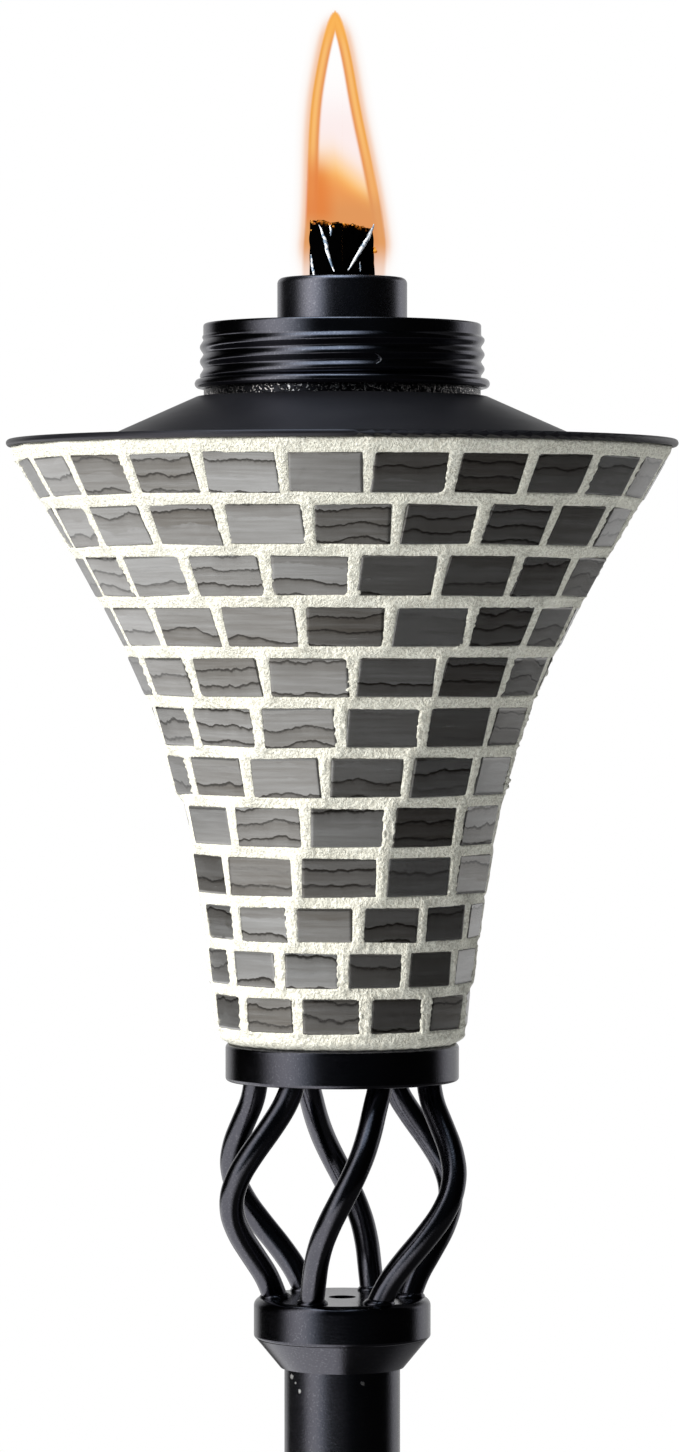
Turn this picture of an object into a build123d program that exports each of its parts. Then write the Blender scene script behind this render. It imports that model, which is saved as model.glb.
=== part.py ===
from build123d import *
import math
import os

# A garden torch for liquid fuel: a mosaic fuel vessel in a twisted cage on a three-piece pole with a spike.
# Millimetres. The origin is on the torch's axis at the soil line, where the lower pole meets the ground
# spike. +Z is up, and the torch is seen from -Y.

# --- Pole and ground spike ---
POLE_RADIUS = 12.7
POLE_WALL = 0.8
SECTION_LENGTH = 457.2
SPIGOT_LENGTH = 50.0
SPIGOT_CLEARANCE = 0.08
SPIKE_RADIUS = 9.5
SPIKE_SHANK = 60.0
SPIKE_POINT = 80.0
SPIKE_TIP_RADIUS = 1.2
SPIKE_PLUG = 40.0

# --- Hub under the cage ---
CONE_HEIGHT = 6.4
CONE_EDGE = 0.9
CONE_STEP = 0.5
BASE_RADIUS = 19.4
BASE_HEIGHT = 8.9
BASE_ROUNDING = 1.8
PRESSED_WALL = 1.6
BASE_HOLE_RADIUS = 3.0

# --- Cage ---
BAR_COUNT = 6
BAR_RADIUS = 2.7
BAR_RISE = 47.6
BAR_FOOT_CIRCLE = 14.7
BAR_TOP_CIRCLE = 18.9
BAR_BULGE = 10.8
BAR_BULGE_POWER = 1.7
BAR_TWIST = 53.0
BAR_FIRST_ANGLE = -117.0
BAR_POINTS = 10
BAR_BEND_SHARE = 0.45
RING_RADIUS = 25.6
RING_HEIGHT = 8.3
RING_ROUNDING = 1.1

# --- Fastening of the vessel on the ring ---
STUD_RADIUS = 3.0
STUD_CLEARANCE = 0.3
WASHER_RADIUS = 6.5
WASHER_HEIGHT = 1.2
NUT_ACROSS_FLATS = 10.0
NUT_HEIGHT = 3.2
STUD_OVER_NUT = 1.2

# --- Fuel vessel and its mosaic ---
VESSEL_HEIGHT = 130.8
VESSEL_FOOT_RADIUS = 23.6
VESSEL_MOUTH_RADIUS = 69.6
VESSEL_WALL = 1.0
BED_THICKNESS = 1.5
TILE_THICKNESS = 2.0
TILE_PROUD = 0.4
TILE_BEVEL = 0.3
JOINT_WIDTH = 2.1
FOOT_MARGIN = 2.5
RIM_MARGIN = 1.2
SMALL_ROWS = 3
ROW_COUNT = 12
SMALL_ROW_SHARE = 0.92
TILE_WIDTH = 16.1
SMALL_TILE_WIDTH = 12.2
# Turn of one upright joint of each row from the front, from the top row down
ROW_TURNS = [4.5, 10.6, 2.6, 11.3, 2.7, -0.5, 21.9, 16.9, 15.4, 6.7, 0.3, 10.3]

# --- Shoulder and neck ---
SHEET = 0.8
BEAD_RADIUS = 0.8
SHOULDER_FLAT = 18.8
SHOULDER_RISE = 9.8
SHOULDER_ROUNDING = 10.0
NECK_RADIUS = 29.0
NECK_WALL = 1.0
NECK_COLLAR_STEP = 1.3
NECK_COLLAR_HEIGHT = 1.5
NECK_HEIGHT = 14.35

# --- Screw cap ---
THREAD_PITCH = 3.15
THREAD_START = 4.5
THREAD_START_ANGLE = -180.0
THREAD_SUNK = 0.2
THREAD_DEPTH = 0.55
THREAD_WIDTH = 1.7
THREAD_CREST = 0.7
THREAD_CLEARANCE = 0.2
THREAD_TURN_IN = 0.03
CAP_RIDGE_MARGIN = 0.4
CAP_RIDGE_DEPTH = 0.6
CAP_RIDGE_WIDTH = 2.2
CAP_RIDGE_CREST = 1.0
CAP_WALL = 0.65
CAP_ROUNDING = 0.6
CURL_RADIUS = 1.05
CURL_OVERLAP = 0.2
CAP_OVER_COLLAR = 0.3
GASKET_HEIGHT = 1.0
GASKET_WIDTH = 3.6

# --- Wick, its tube and the collar ---
COLLAR_RADIUS = 14.2
COLLAR_HEIGHT = 10.0
COLLAR_ROUNDING = 1.3
WICK_RADIUS = 7.2
WICK_CLEARANCE = 0.3
TUBE_WALL = 0.7
TUBE_LENGTH = 34.0
WICK_STANDOUT = 12.4
WICK_TOP_SLOPE = 7.5
WICK_LENGTH = 165.0

# --- Heights along the axis, worked out from the sizes above ---
EXPOSED_SECTION = SECTION_LENGTH - SPIGOT_LENGTH
UPPER_POLE_FOOT = 2 * EXPOSED_SECTION
POLE_TOP = UPPER_POLE_FOOT + SECTION_LENGTH
BASE_TOP = POLE_TOP + PRESSED_WALL
BASE_FOOT = BASE_TOP - BASE_HEIGHT
CONE_FOOT = BASE_FOOT - CONE_HEIGHT
RING_FOOT = BASE_TOP + BAR_RISE
RING_TOP = RING_FOOT + RING_HEIGHT
RING_PLATE_FOOT = RING_TOP - PRESSED_WALL
VESSEL_TOP = RING_TOP + VESSEL_HEIGHT
SHOULDER_TOP = VESSEL_TOP + SHEET + SHOULDER_RISE
NECK_TOP = SHOULDER_TOP + NECK_HEIGHT
CAP_TOP = NECK_TOP + GASKET_HEIGHT + CAP_WALL
COLLAR_TOP = CAP_TOP + COLLAR_HEIGHT
WICK_TOP = COLLAR_TOP + WICK_STANDOUT
# Turns that fit: the neck's thread ends under its mouth, the cap's inner one half a pitch short of that
NECK_THREAD_TURNS = (NECK_HEIGHT - THREAD_START - THREAD_WIDTH / 2 - THREAD_CREST) / THREAD_PITCH
CAP_THREAD_TURNS = NECK_THREAD_TURNS - 0.5 - THREAD_TURN_IN
CAP_RIDGE_ROOM = CAP_TOP - SHOULDER_TOP - THREAD_START - CAP_ROUNDING - CAP_RIDGE_WIDTH / 2 - CAP_RIDGE_MARGIN
CAP_RIDGE_TURNS = CAP_RIDGE_ROOM / THREAD_PITCH - THREAD_TURN_IN
BEAD_CIRCLE = VESSEL_MOUTH_RADIUS + BED_THICKNESS + TILE_THICKNESS - 0.5 * BEAD_RADIUS
BEAD_FOOT = VESSEL_TOP + SHEET / 2 - BEAD_RADIUS

os.makedirs("parts", exist_ok=True)


def turned(points):
    """A solid of revolution about the axis from an outline of (radius, height) points."""
    outline = make_face(Polyline(*[(radius, 0, height) for radius, height in points], close=True))
    return revolve(outline, Axis.Z)


def rod(radius, foot, top):
    """A solid round bar on the axis."""
    return Pos(0, 0, foot) * Cylinder(radius, top - foot, align=(Align.CENTER, Align.CENTER, Align.MIN))


def tube(outer, inner, foot, top):
    """A round tube on the axis."""
    return turned([(inner, foot), (outer, foot), (outer, top), (inner, top)])


def hexagon(across_flats, foot, top):
    """A hexagonal prism on the axis."""
    outline = RegularPolygon(across_flats / 2, 6, major_radius=False)
    return Pos(0, 0, foot) * extrude(outline, top - foot)


def edges_at(solid, radius, height, reach=0.05):
    """The round edges of a turned solid at a radius and a height."""
    found = []
    for edge in solid.edges().filter_by(GeomType.CIRCLE):
        middle = edge.arc_center
        if abs(edge.radius - radius) < reach and abs(middle.Z - height) < reach:
            found.append(edge)
    return found


def write(solid, name):
    """Write one piece to its own file."""
    export_step(solid, f"parts/{name}.step")


# --- Ground spike: a forged rod pressed into the lower pole, with a drawn-out point ---
def ground_spike():
    shank_foot = -SPIKE_SHANK
    return turned([
        (0, SPIKE_PLUG),
        (POLE_RADIUS - POLE_WALL, SPIKE_PLUG),
        (POLE_RADIUS - POLE_WALL, 0),
        (SPIKE_RADIUS, 0),
        (SPIKE_RADIUS, shank_foot),
        (SPIKE_TIP_RADIUS, shank_foot - SPIKE_POINT),
        (0, shank_foot - SPIKE_POINT),
    ])


# --- Pole sections: steel tube, the lower two drawn in at the top to a spigot ---
def pole_section(foot, with_spigot):
    top = foot + SECTION_LENGTH
    bore = POLE_RADIUS - POLE_WALL
    if not with_spigot:
        return tube(POLE_RADIUS, bore, foot, top)
    shoulder = top - SPIGOT_LENGTH
    spigot = bore - SPIGOT_CLEARANCE
    return turned([
        (bore, foot),
        (POLE_RADIUS, foot),
        (POLE_RADIUS, shoulder),
        (spigot, shoulder),
        (spigot, top),
        (spigot - POLE_WALL, top),
        (spigot - POLE_WALL, shoulder - 2 * POLE_WALL),
        (bore, shoulder - 2 * POLE_WALL),
    ])


# --- Cone that takes the pole, and the pressed base the bars stand on ---
def hub_cone():
    return turned([
        (POLE_RADIUS, CONE_FOOT),
        (POLE_RADIUS + CONE_EDGE, CONE_FOOT),
        (BASE_RADIUS - CONE_STEP, BASE_FOOT),
        (POLE_RADIUS, BASE_FOOT),
    ])


def pressed_cup(radius, foot, top, hole, rounding):
    """An inverted cup with a round hole in its top plate."""
    inner = radius - PRESSED_WALL
    cup = turned([
        (inner, foot),
        (radius, foot),
        (radius, top),
        (hole, top),
        (hole, top - PRESSED_WALL),
        (inner, top - PRESSED_WALL),
    ])
    return fillet(edges_at(cup, radius, top), rounding)


def cage_base():
    base = pressed_cup(BASE_RADIUS, BASE_FOOT, BASE_TOP, BASE_HOLE_RADIUS, BASE_ROUNDING)
    return fillet(edges_at(base, BASE_RADIUS, BASE_FOOT), 0.5 * PRESSED_WALL)


def cage_ring():
    ring = pressed_cup(RING_RADIUS, RING_FOOT, RING_TOP, STUD_RADIUS + STUD_CLEARANCE, RING_ROUNDING)
    return fillet(edges_at(ring, RING_RADIUS, RING_FOOT), 0.5 * PRESSED_WALL)


# --- Twisted bars: round rod bent outward and round the axis, welded at both ends ---
def bar_point(share, first_angle):
    """A point of a bar's centre line, from its foot (0) to the level of the ring's edge (1)."""
    circle = BAR_FOOT_CIRCLE + (BAR_TOP_CIRCLE - BAR_FOOT_CIRCLE) * share
    # A power above 1 lets the bar stand almost upright at both ends.
    radius = circle + BAR_BULGE * max(math.sin(math.pi * share), 0.0) ** BAR_BULGE_POWER
    angle = math.radians(first_angle + BAR_TWIST * share)
    return Vector(radius * math.cos(angle), radius * math.sin(angle), BASE_TOP + BAR_RISE * share)


def cage_bar(first_angle):
    points = [bar_point(step / BAR_POINTS, first_angle) for step in range(BAR_POINTS + 1)]
    # The top stands upright inside the ring. Both ends run past their plates and are cut off flush.
    points.append(Vector(points[-1].X, points[-1].Y, RING_TOP + BAR_RADIUS))
    points[0] -= (points[1] - points[0]).normalized() * 2 * BAR_RADIUS
    radii = []
    for before, corner, after in zip(points, points[1:], points[2:]):
        run = min((corner - before).length, (after - corner).length)
        turn = math.radians((corner - before).get_angle(after - corner))
        radii.append(BAR_BEND_SHARE * run / math.tan(turn / 2))
    path = FilletPolyline(*points, radius=radii)
    section = Plane(origin=points[0], z_dir=points[1] - points[0]) * Circle(BAR_RADIUS)
    slab = Pos(0, 0, BASE_TOP) * Box(
        4 * RING_RADIUS,
        4 * RING_RADIUS,
        RING_PLATE_FOOT - BASE_TOP,
        align=(Align.CENTER, Align.CENTER, Align.MIN),
    )
    return sweep(section, path=path) & slab


# --- Stud, washer and nut that hold the vessel on the ring ---
def canister_stud():
    foot = RING_PLATE_FOOT - WASHER_HEIGHT - NUT_HEIGHT - STUD_OVER_NUT
    return rod(STUD_RADIUS, foot, RING_TOP)


def stud_washer():
    return tube(WASHER_RADIUS, STUD_RADIUS + STUD_CLEARANCE, RING_PLATE_FOOT - WASHER_HEIGHT, RING_PLATE_FOOT)


def stud_nut():
    top = RING_PLATE_FOOT - WASHER_HEIGHT
    return hexagon(NUT_ACROSS_FLATS, top - NUT_HEIGHT, top) - rod(STUD_RADIUS, top - NUT_HEIGHT, top)


# --- Vessel outline: near upright at the foot, opening into a bell at the mouth ---
def vessel_curve(offset):
    """The vessel's side from foot to mouth, moved outward by an offset."""
    spread = VESSEL_MOUTH_RADIUS - VESSEL_FOOT_RADIUS
    corners = [(0.0, 0.0), (0.15, 0.55), (0.40, 0.64), (1.0, 1.0)]
    points = [
        (VESSEL_FOOT_RADIUS + offset + spread * out, 0, RING_TOP + VESSEL_HEIGHT * up)
        for out, up in corners
    ]
    return Bezier(*points)


def vessel_radius(height):
    """The vessel's outer radius at a height."""
    low = 0.0
    high = 1.0
    curve = vessel_curve(0)
    for _ in range(30):
        middle = (low + high) / 2
        if curve.position_at(middle).Z < height:
            low = middle
        else:
            high = middle
    return curve.position_at(low).X


def canister():
    outer = vessel_curve(0)
    inner = vessel_curve(-VESSEL_WALL)
    foot_inner = (VESSEL_FOOT_RADIUS - VESSEL_WALL, 0, RING_TOP)
    side = outer + Line(outer @ 1, inner @ 1) + inner + Line(foot_inner, outer @ 0)
    shell = revolve(make_face(side), Axis.Z)
    floor = Pos(0, 0, RING_TOP) * Cylinder(
        VESSEL_FOOT_RADIUS - VESSEL_WALL / 2,
        VESSEL_WALL,
        align=(Align.CENTER, Align.CENTER, Align.MIN),
    )
    return shell + floor


# --- Mosaic: rows of flat glass tiles in pockets of the grout ---
def row_joints():
    """Heights of the level joints, from the top one down."""
    large = ROW_COUNT - SMALL_ROWS
    top = VESSEL_TOP - RIM_MARGIN - JOINT_WIDTH / 2
    foot = RING_TOP + FOOT_MARGIN
    pitch = (top - foot) / (large + SMALL_ROWS * SMALL_ROW_SHARE)
    heights = [top]
    for row in range(ROW_COUNT):
        heights.append(heights[-1] - pitch * (1 if row < large else SMALL_ROW_SHARE))
    return heights


def tile_row(row, heights, bevel):
    """The tiles of one row, each a flat-sided piece of a ring."""
    top = heights[row] - JOINT_WIDTH / 2
    foot = heights[row + 1] + JOINT_WIDTH / 2
    top_radius = vessel_radius(top) + BED_THICKNESS
    foot_radius = vessel_radius(foot) + BED_THICKNESS
    middle = (top_radius + foot_radius) / 2 + TILE_THICKNESS
    width = TILE_WIDTH if row < ROW_COUNT - SMALL_ROWS else SMALL_TILE_WIDTH
    count = round(2 * math.pi * middle / (width + JOINT_WIDTH))
    step = 360 / count
    joint_angle = math.degrees(JOINT_WIDTH / middle)
    outline = make_face(Polyline(
        (foot_radius, 0, foot),
        (foot_radius + TILE_THICKNESS, 0, foot),
        (top_radius + TILE_THICKNESS, 0, top),
        (top_radius, 0, top),
        close=True,
    ))
    tile = revolve(outline, Axis.Z, step - joint_angle)
    if bevel:
        outer = tile.faces().sort_by(lambda face: -Vector(face.center().X, face.center().Y, 0).length)[0]
        tile = chamfer(outer.edges(), TILE_BEVEL)
    start = -90 + ROW_TURNS[row] + joint_angle / 2
    return [Rot(0, 0, start + step * number) * tile for number in range(count)]


def grout(heights):
    """The mortar round the vessel, full to just under the tiles' faces, with a pocket for each tile."""
    depth = BED_THICKNESS + TILE_THICKNESS - TILE_PROUD
    face_points = [(vessel_radius(BEAD_FOOT) + depth, 0, BEAD_FOOT)]
    for height in heights:
        face_points.append((vessel_radius(height) + depth, 0, height))
    face_points.append((VESSEL_FOOT_RADIUS + BED_THICKNESS / 2, 0, RING_TOP))
    outer = Polyline(*face_points)
    inner = vessel_curve(0)
    over_top = rod(2 * VESSEL_MOUTH_RADIUS, BEAD_FOOT, VESSEL_TOP + BEAD_RADIUS)
    rim = (vessel_radius(BEAD_FOOT) + depth, 0, VESSEL_TOP)
    outline = Line(inner @ 1, rim) + Line(rim, face_points[0]) + outer + Line(outer @ 1, inner @ 0) + inner
    mortar = revolve(make_face(outline), Axis.Z) - over_top
    pockets = []
    for row in range(ROW_COUNT):
        pockets.extend(tile_row(row, heights, bevel=False))
    return mortar - pockets


# --- Shoulder: pressed sheet from the rolled rim up to the neck ---
def shoulder():
    flat_end = BEAD_CIRCLE - SHOULDER_FLAT
    cone_end = NECK_RADIUS + NECK_COLLAR_STEP + 2 * SHEET
    hole = NECK_RADIUS - NECK_WALL
    under = [
        (BEAD_CIRCLE, VESSEL_TOP),
        (flat_end, VESSEL_TOP),
        (cone_end, SHOULDER_TOP - SHEET),
        (hole, SHOULDER_TOP - SHEET),
    ]
    over = [(radius, height + SHEET) for radius, height in reversed(under)]
    outline = make_face(Polyline(*[(radius, 0, height) for radius, height in under + over], close=True))
    bends = [v for v in outline.vertices() if abs(v.X - flat_end) < 0.01]
    outline = fillet(bends, SHOULDER_ROUNDING)
    bead = Pos(BEAD_CIRCLE, 0, VESSEL_TOP + SHEET / 2) * (Plane.XZ * Circle(BEAD_RADIUS))
    return revolve(outline, Axis.Z) + revolve(bead, Axis.Z)


def helix_ridge(radius, depth, width, crest, turns, start=0.0, lift=0.0):
    """A ridge that winds up a wall, its heights taken from the shoulder's top.

    It starts a share of a turn on, and a negative depth runs inward.
    """
    root = math.copysign(THREAD_SUNK, -depth)
    root_width = width + (width - crest) * THREAD_SUNK / abs(depth)
    path = Helix(THREAD_PITCH, THREAD_PITCH * turns, radius)
    outline = make_face(Polyline(
        (root, -root_width / 2),
        (depth, -crest / 2),
        (depth, crest / 2),
        (root, root_width / 2),
        close=True,
    ))
    section = Plane(origin=path @ 0, x_dir=(1, 0, 0), z_dir=path % 0) * outline
    ridge = sweep(section, path=path, is_frenet=True)
    foot = THREAD_START + THREAD_PITCH * start + lift
    return Pos(0, 0, foot) * Rot(0, 0, THREAD_START_ANGLE + 360 * start) * ridge


# --- Neck: threaded ring seated on the shoulder ---
def neck():
    bore = NECK_RADIUS - NECK_WALL
    body = turned([
        (bore, 0),
        (NECK_RADIUS + NECK_COLLAR_STEP, 0),
        (NECK_RADIUS + NECK_COLLAR_STEP, NECK_COLLAR_HEIGHT),
        (NECK_RADIUS, NECK_COLLAR_HEIGHT),
        (NECK_RADIUS, NECK_HEIGHT),
        (bore, NECK_HEIGHT),
    ])
    body += helix_ridge(NECK_RADIUS, THREAD_DEPTH, THREAD_WIDTH, THREAD_CREST, NECK_THREAD_TURNS)
    return Pos(0, 0, SHOULDER_TOP) * body


def cap_gasket():
    return tube(NECK_RADIUS, NECK_RADIUS - GASKET_WIDTH, NECK_TOP, NECK_TOP + GASKET_HEIGHT)


# --- Cap: drawn sheet with a rolled thread and a curled lower edge ---
def flame_cap():
    inner = NECK_RADIUS + THREAD_DEPTH + THREAD_CLEARANCE
    outer = inner + CAP_WALL
    foot = NECK_COLLAR_HEIGHT + CAP_OVER_COLLAR + CURL_RADIUS
    top = CAP_TOP - SHOULDER_TOP
    hole = WICK_RADIUS + WICK_CLEARANCE + TUBE_WALL
    body = turned([
        (inner, foot),
        (outer, foot),
        (outer, top),
        (hole, top),
        (hole, top - CAP_WALL),
        (inner, top - CAP_WALL),
    ])
    body = fillet(edges_at(body, outer, top), CAP_ROUNDING)
    curl_circle = outer + CURL_RADIUS - CURL_OVERLAP
    curl = revolve(Pos(curl_circle, 0, foot) * (Plane.XZ * Circle(CURL_RADIUS)), Axis.Z)
    # The rolled thread stands out between its turns on the outside and in on the inside.
    ridge = helix_ridge(outer, CAP_RIDGE_DEPTH, CAP_RIDGE_WIDTH, CAP_RIDGE_CREST, CAP_RIDGE_TURNS, THREAD_TURN_IN)
    half_pitch = THREAD_PITCH / 2
    thread = helix_ridge(
        inner,
        -THREAD_DEPTH,
        THREAD_WIDTH,
        THREAD_CREST,
        CAP_THREAD_TURNS,
        THREAD_TURN_IN,
        half_pitch,
    )
    return Pos(0, 0, SHOULDER_TOP) * (body + ridge + thread + curl)


# --- Wick collar, wick tube and wick ---
def wick_collar():
    hole = WICK_RADIUS + WICK_CLEARANCE + TUBE_WALL
    collar = turned([
        (COLLAR_RADIUS - SHEET, CAP_TOP),
        (COLLAR_RADIUS, CAP_TOP),
        (COLLAR_RADIUS, COLLAR_TOP),
        (hole, COLLAR_TOP),
        (hole, COLLAR_TOP - SHEET),
        (COLLAR_RADIUS - SHEET, COLLAR_TOP - SHEET),
    ])
    return fillet(edges_at(collar, COLLAR_RADIUS, COLLAR_TOP), COLLAR_ROUNDING)


def wick_tube():
    bore = WICK_RADIUS + WICK_CLEARANCE
    return tube(bore + TUBE_WALL, bore, COLLAR_TOP - TUBE_LENGTH, COLLAR_TOP)


def wick():
    body = rod(WICK_RADIUS, WICK_TOP - WICK_LENGTH, WICK_TOP)
    cutter = Pos(-WICK_RADIUS, 0, WICK_TOP) * Rot(0, WICK_TOP_SLOPE, 0) * Box(
        6 * WICK_RADIUS,
        4 * WICK_RADIUS,
        2 * WICK_RADIUS,
        align=(Align.CENTER, Align.CENTER, Align.MIN),
    )
    return body - cutter


write(ground_spike(), "ground_spike")
write(pole_section(0, True), "lower_pole")
write(pole_section(EXPOSED_SECTION, True), "middle_pole")
write(pole_section(UPPER_POLE_FOOT, False), "upper_pole")
write(hub_cone(), "hub_cone")
write(cage_base(), "cage_base")
write(cage_ring(), "cage_ring")
for bar in range(BAR_COUNT):
    write(cage_bar(BAR_FIRST_ANGLE + 360 / BAR_COUNT * bar), f"cage_bar_{bar + 1}")
write(canister_stud(), "canister_stud")
write(stud_washer(), "stud_washer")
write(stud_nut(), "stud_nut")
write(canister(), "canister")
joint_heights = row_joints()
for row_number in range(ROW_COUNT):
    tiles = tile_row(row_number, joint_heights, bevel=True)
    write(Compound(children=[Solid(tile.solid().wrapped) for tile in tiles]), f"tile_row_{row_number + 1:02d}")
write(grout(joint_heights), "grout")
write(shoulder(), "shoulder")
write(neck(), "neck")
write(cap_gasket(), "cap_gasket")
write(flame_cap(), "flame_cap")
write(wick_collar(), "wick_collar")
write(wick_tube(), "wick_tube")
write(wick(), "wick")
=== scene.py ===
import math
import random

import bpy
import numpy as np
from mathutils import Matrix, Vector, noise


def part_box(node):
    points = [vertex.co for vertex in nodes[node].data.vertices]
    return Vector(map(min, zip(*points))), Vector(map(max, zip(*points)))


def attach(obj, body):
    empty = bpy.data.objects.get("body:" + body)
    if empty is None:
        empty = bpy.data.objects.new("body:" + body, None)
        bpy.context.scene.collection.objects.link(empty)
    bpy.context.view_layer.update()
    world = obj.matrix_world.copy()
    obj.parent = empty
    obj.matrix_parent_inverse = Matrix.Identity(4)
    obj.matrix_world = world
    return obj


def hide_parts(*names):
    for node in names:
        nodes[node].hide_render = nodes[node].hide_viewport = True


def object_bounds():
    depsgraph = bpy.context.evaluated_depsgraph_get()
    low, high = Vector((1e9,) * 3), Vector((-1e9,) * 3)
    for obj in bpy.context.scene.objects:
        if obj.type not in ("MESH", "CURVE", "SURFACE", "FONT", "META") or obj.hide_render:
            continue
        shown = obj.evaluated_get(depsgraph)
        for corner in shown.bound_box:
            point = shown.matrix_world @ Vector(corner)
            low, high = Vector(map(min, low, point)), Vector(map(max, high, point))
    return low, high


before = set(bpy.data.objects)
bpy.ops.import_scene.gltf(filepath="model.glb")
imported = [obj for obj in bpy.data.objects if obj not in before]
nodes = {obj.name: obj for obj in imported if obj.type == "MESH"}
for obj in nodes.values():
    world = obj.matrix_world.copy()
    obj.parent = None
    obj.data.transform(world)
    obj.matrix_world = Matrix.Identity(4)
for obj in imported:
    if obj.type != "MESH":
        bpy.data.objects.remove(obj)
cad_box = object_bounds()
MM = 0.001


# ---------------------------------------------------------------------------------------------------------
# Ground spike: a forged steel rod with a drawn-out point, driven into the lower pole and dipped in black
# paint. Soil has rubbed the paint off towards its tip.
# ---------------------------------------------------------------------------------------------------------
class Shade:
    """A socket of a material's nodes. Arithmetic on it adds Math nodes."""

    def __init__(self, tree, socket=None):
        self.tree = tree
        self.socket = socket

    def node(self, kind, settings=None, values=None, output=0):
        """Add a node: its settings first, then the values or links of its sockets. Gives one output."""
        made = self.tree.nodes.new(kind)
        for name, value in (settings or {}).items():
            setattr(made, name, value)
        for key, value in (values or {}).items():
            if isinstance(value, Shade):
                self.tree.links.new(value.socket, made.inputs[key])
            else:
                made.inputs[key].default_value = value
        return Shade(self.tree, made.outputs[output])

    def math(self, operation, *others):
        """A Math node on these numbers or sockets."""
        values = {place: value for place, value in enumerate(others)}
        return self.node("ShaderNodeMath", {"operation": operation}, values)

    def __add__(self, other):
        return self.math("ADD", self, other)

    def __radd__(self, other):
        return self.math("ADD", other, self)

    def __sub__(self, other):
        return self.math("SUBTRACT", self, other)

    def __rsub__(self, other):
        return self.math("SUBTRACT", other, self)

    def __mul__(self, other):
        return self.math("MULTIPLY", self, other)

    def __truediv__(self, other):
        return self.math("DIVIDE", self, other)

    def ramp(self, low, high):
        """0 below low, 1 above high, and a soft step between."""
        settings = {"interpolation_type": "SMOOTHSTEP"}
        return self.node("ShaderNodeMapRange", settings, {0: self, 1: low, 2: high, 3: 0.0, 4: 1.0})

    def mix(self, first, second):
        """The first colour where this is 0, the second where it is 1."""
        values = {0: self}
        for key, colour in ((6, first), (7, second)):
            values[key] = colour if isinstance(colour, Shade) else (*colour, 1.0)
        return self.node("ShaderNodeMix", {"data_type": "RGBA"}, values, 2)

    def place(self):
        """Where the surface point is in the object's own space, in metres."""
        return self.node("ShaderNodeTexCoord", output=3)

    def split(self, axis):
        """One number of this point or direction: 0 across, 1 back, 2 up."""
        return self.node("ShaderNodeSeparateXYZ", None, {0: self}, axis)

    def stored(self, name, output=2):
        """A value stored on a mesh's points: output 0 for a colour, 1 for a vector, 2 for a number."""
        return self.node("ShaderNodeAttribute", {"attribute_name": name}, output=output)

    def point(self, across, back, up):
        """A point put together from three numbers."""
        return self.node("ShaderNodeCombineXYZ", None, {0: across, 1: back, 2: up})

    def grain(self, scale, detail=2.0, roughness=0.5, where=None):
        """Noise from 0 to 1 with about this many cells to the metre."""
        values = {"Vector": where or self.place(), "Scale": scale, "Detail": detail, "Roughness": roughness}
        return self.node("ShaderNodeTexNoise", None, values, 0)

    def stretched(self, across, along):
        """The place with its level axes scaled by one number and its upright axis by another."""
        values = {0: self.place(), 1: (across, across, along)}
        return self.node("ShaderNodeVectorMath", {"operation": "MULTIPLY"}, values)

    def bump(self, height, strength, distance):
        """The normal of a surface with this relief; distance is its depth in metres."""
        values = {"Strength": strength, "Distance": distance, "Height": height}
        return self.node("ShaderNodeBump", None, values)


def finish(name):
    """A new material with a Principled shader on its output: the start of its nodes, and the shader."""
    material = bpy.data.materials.new(name)
    material.use_nodes = True
    tree = material.node_tree
    tree.nodes.clear()
    shader = tree.nodes.new("ShaderNodeBsdfPrincipled")
    output = tree.nodes.new("ShaderNodeOutputMaterial")
    tree.links.new(shader.outputs[0], output.inputs[0])
    return material, Shade(tree), shader


def feed(shader, **sockets):
    """Set or link the shader's sockets; an underscore in a name stands for a space."""
    for name, value in sockets.items():
        target = shader.inputs[name.replace("_", " ")]
        if isinstance(value, Shade):
            value.tree.links.new(value.socket, target)
        else:
            target.default_value = value


def paint(material, *names):
    """Give CAD pieces their finish."""
    for name in names:
        nodes[name].data.materials.clear()
        nodes[name].data.materials.append(material)


spike_paint, s, shader = finish("spike_paint")
spike_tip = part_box("ground_spike")[0].z
height = s.place().split(2)
scuffs = s.grain(1.0, 4.0, 0.65, s.stretched(900.0, 120.0))
bare = (scuffs * 0.9 + (1.0 - (height - spike_tip) / (0.0 - spike_tip)) * 0.75).ramp(0.88, 1.0)
feed(
    shader,
    Base_Color=bare.mix((0.012, 0.012, 0.013), (0.30, 0.28, 0.26)),
    Metallic=bare,
    Roughness=0.42 - bare * 0.1 + scuffs * 0.15,
    Normal=s.bump(scuffs, 0.4, 0.0003),
)
paint(spike_paint, "ground_spike")


# ---------------------------------------------------------------------------------------------------------
# Pole: three push-fit lengths of steel tube, powder coated black. The coat has a fine grain, a few chips
# near the top joint and faint handling marks along its length.
# ---------------------------------------------------------------------------------------------------------
COAT_DARK = (0.080, 0.080, 0.096)
COAT_LIGHT = (0.19, 0.188, 0.205)


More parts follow.
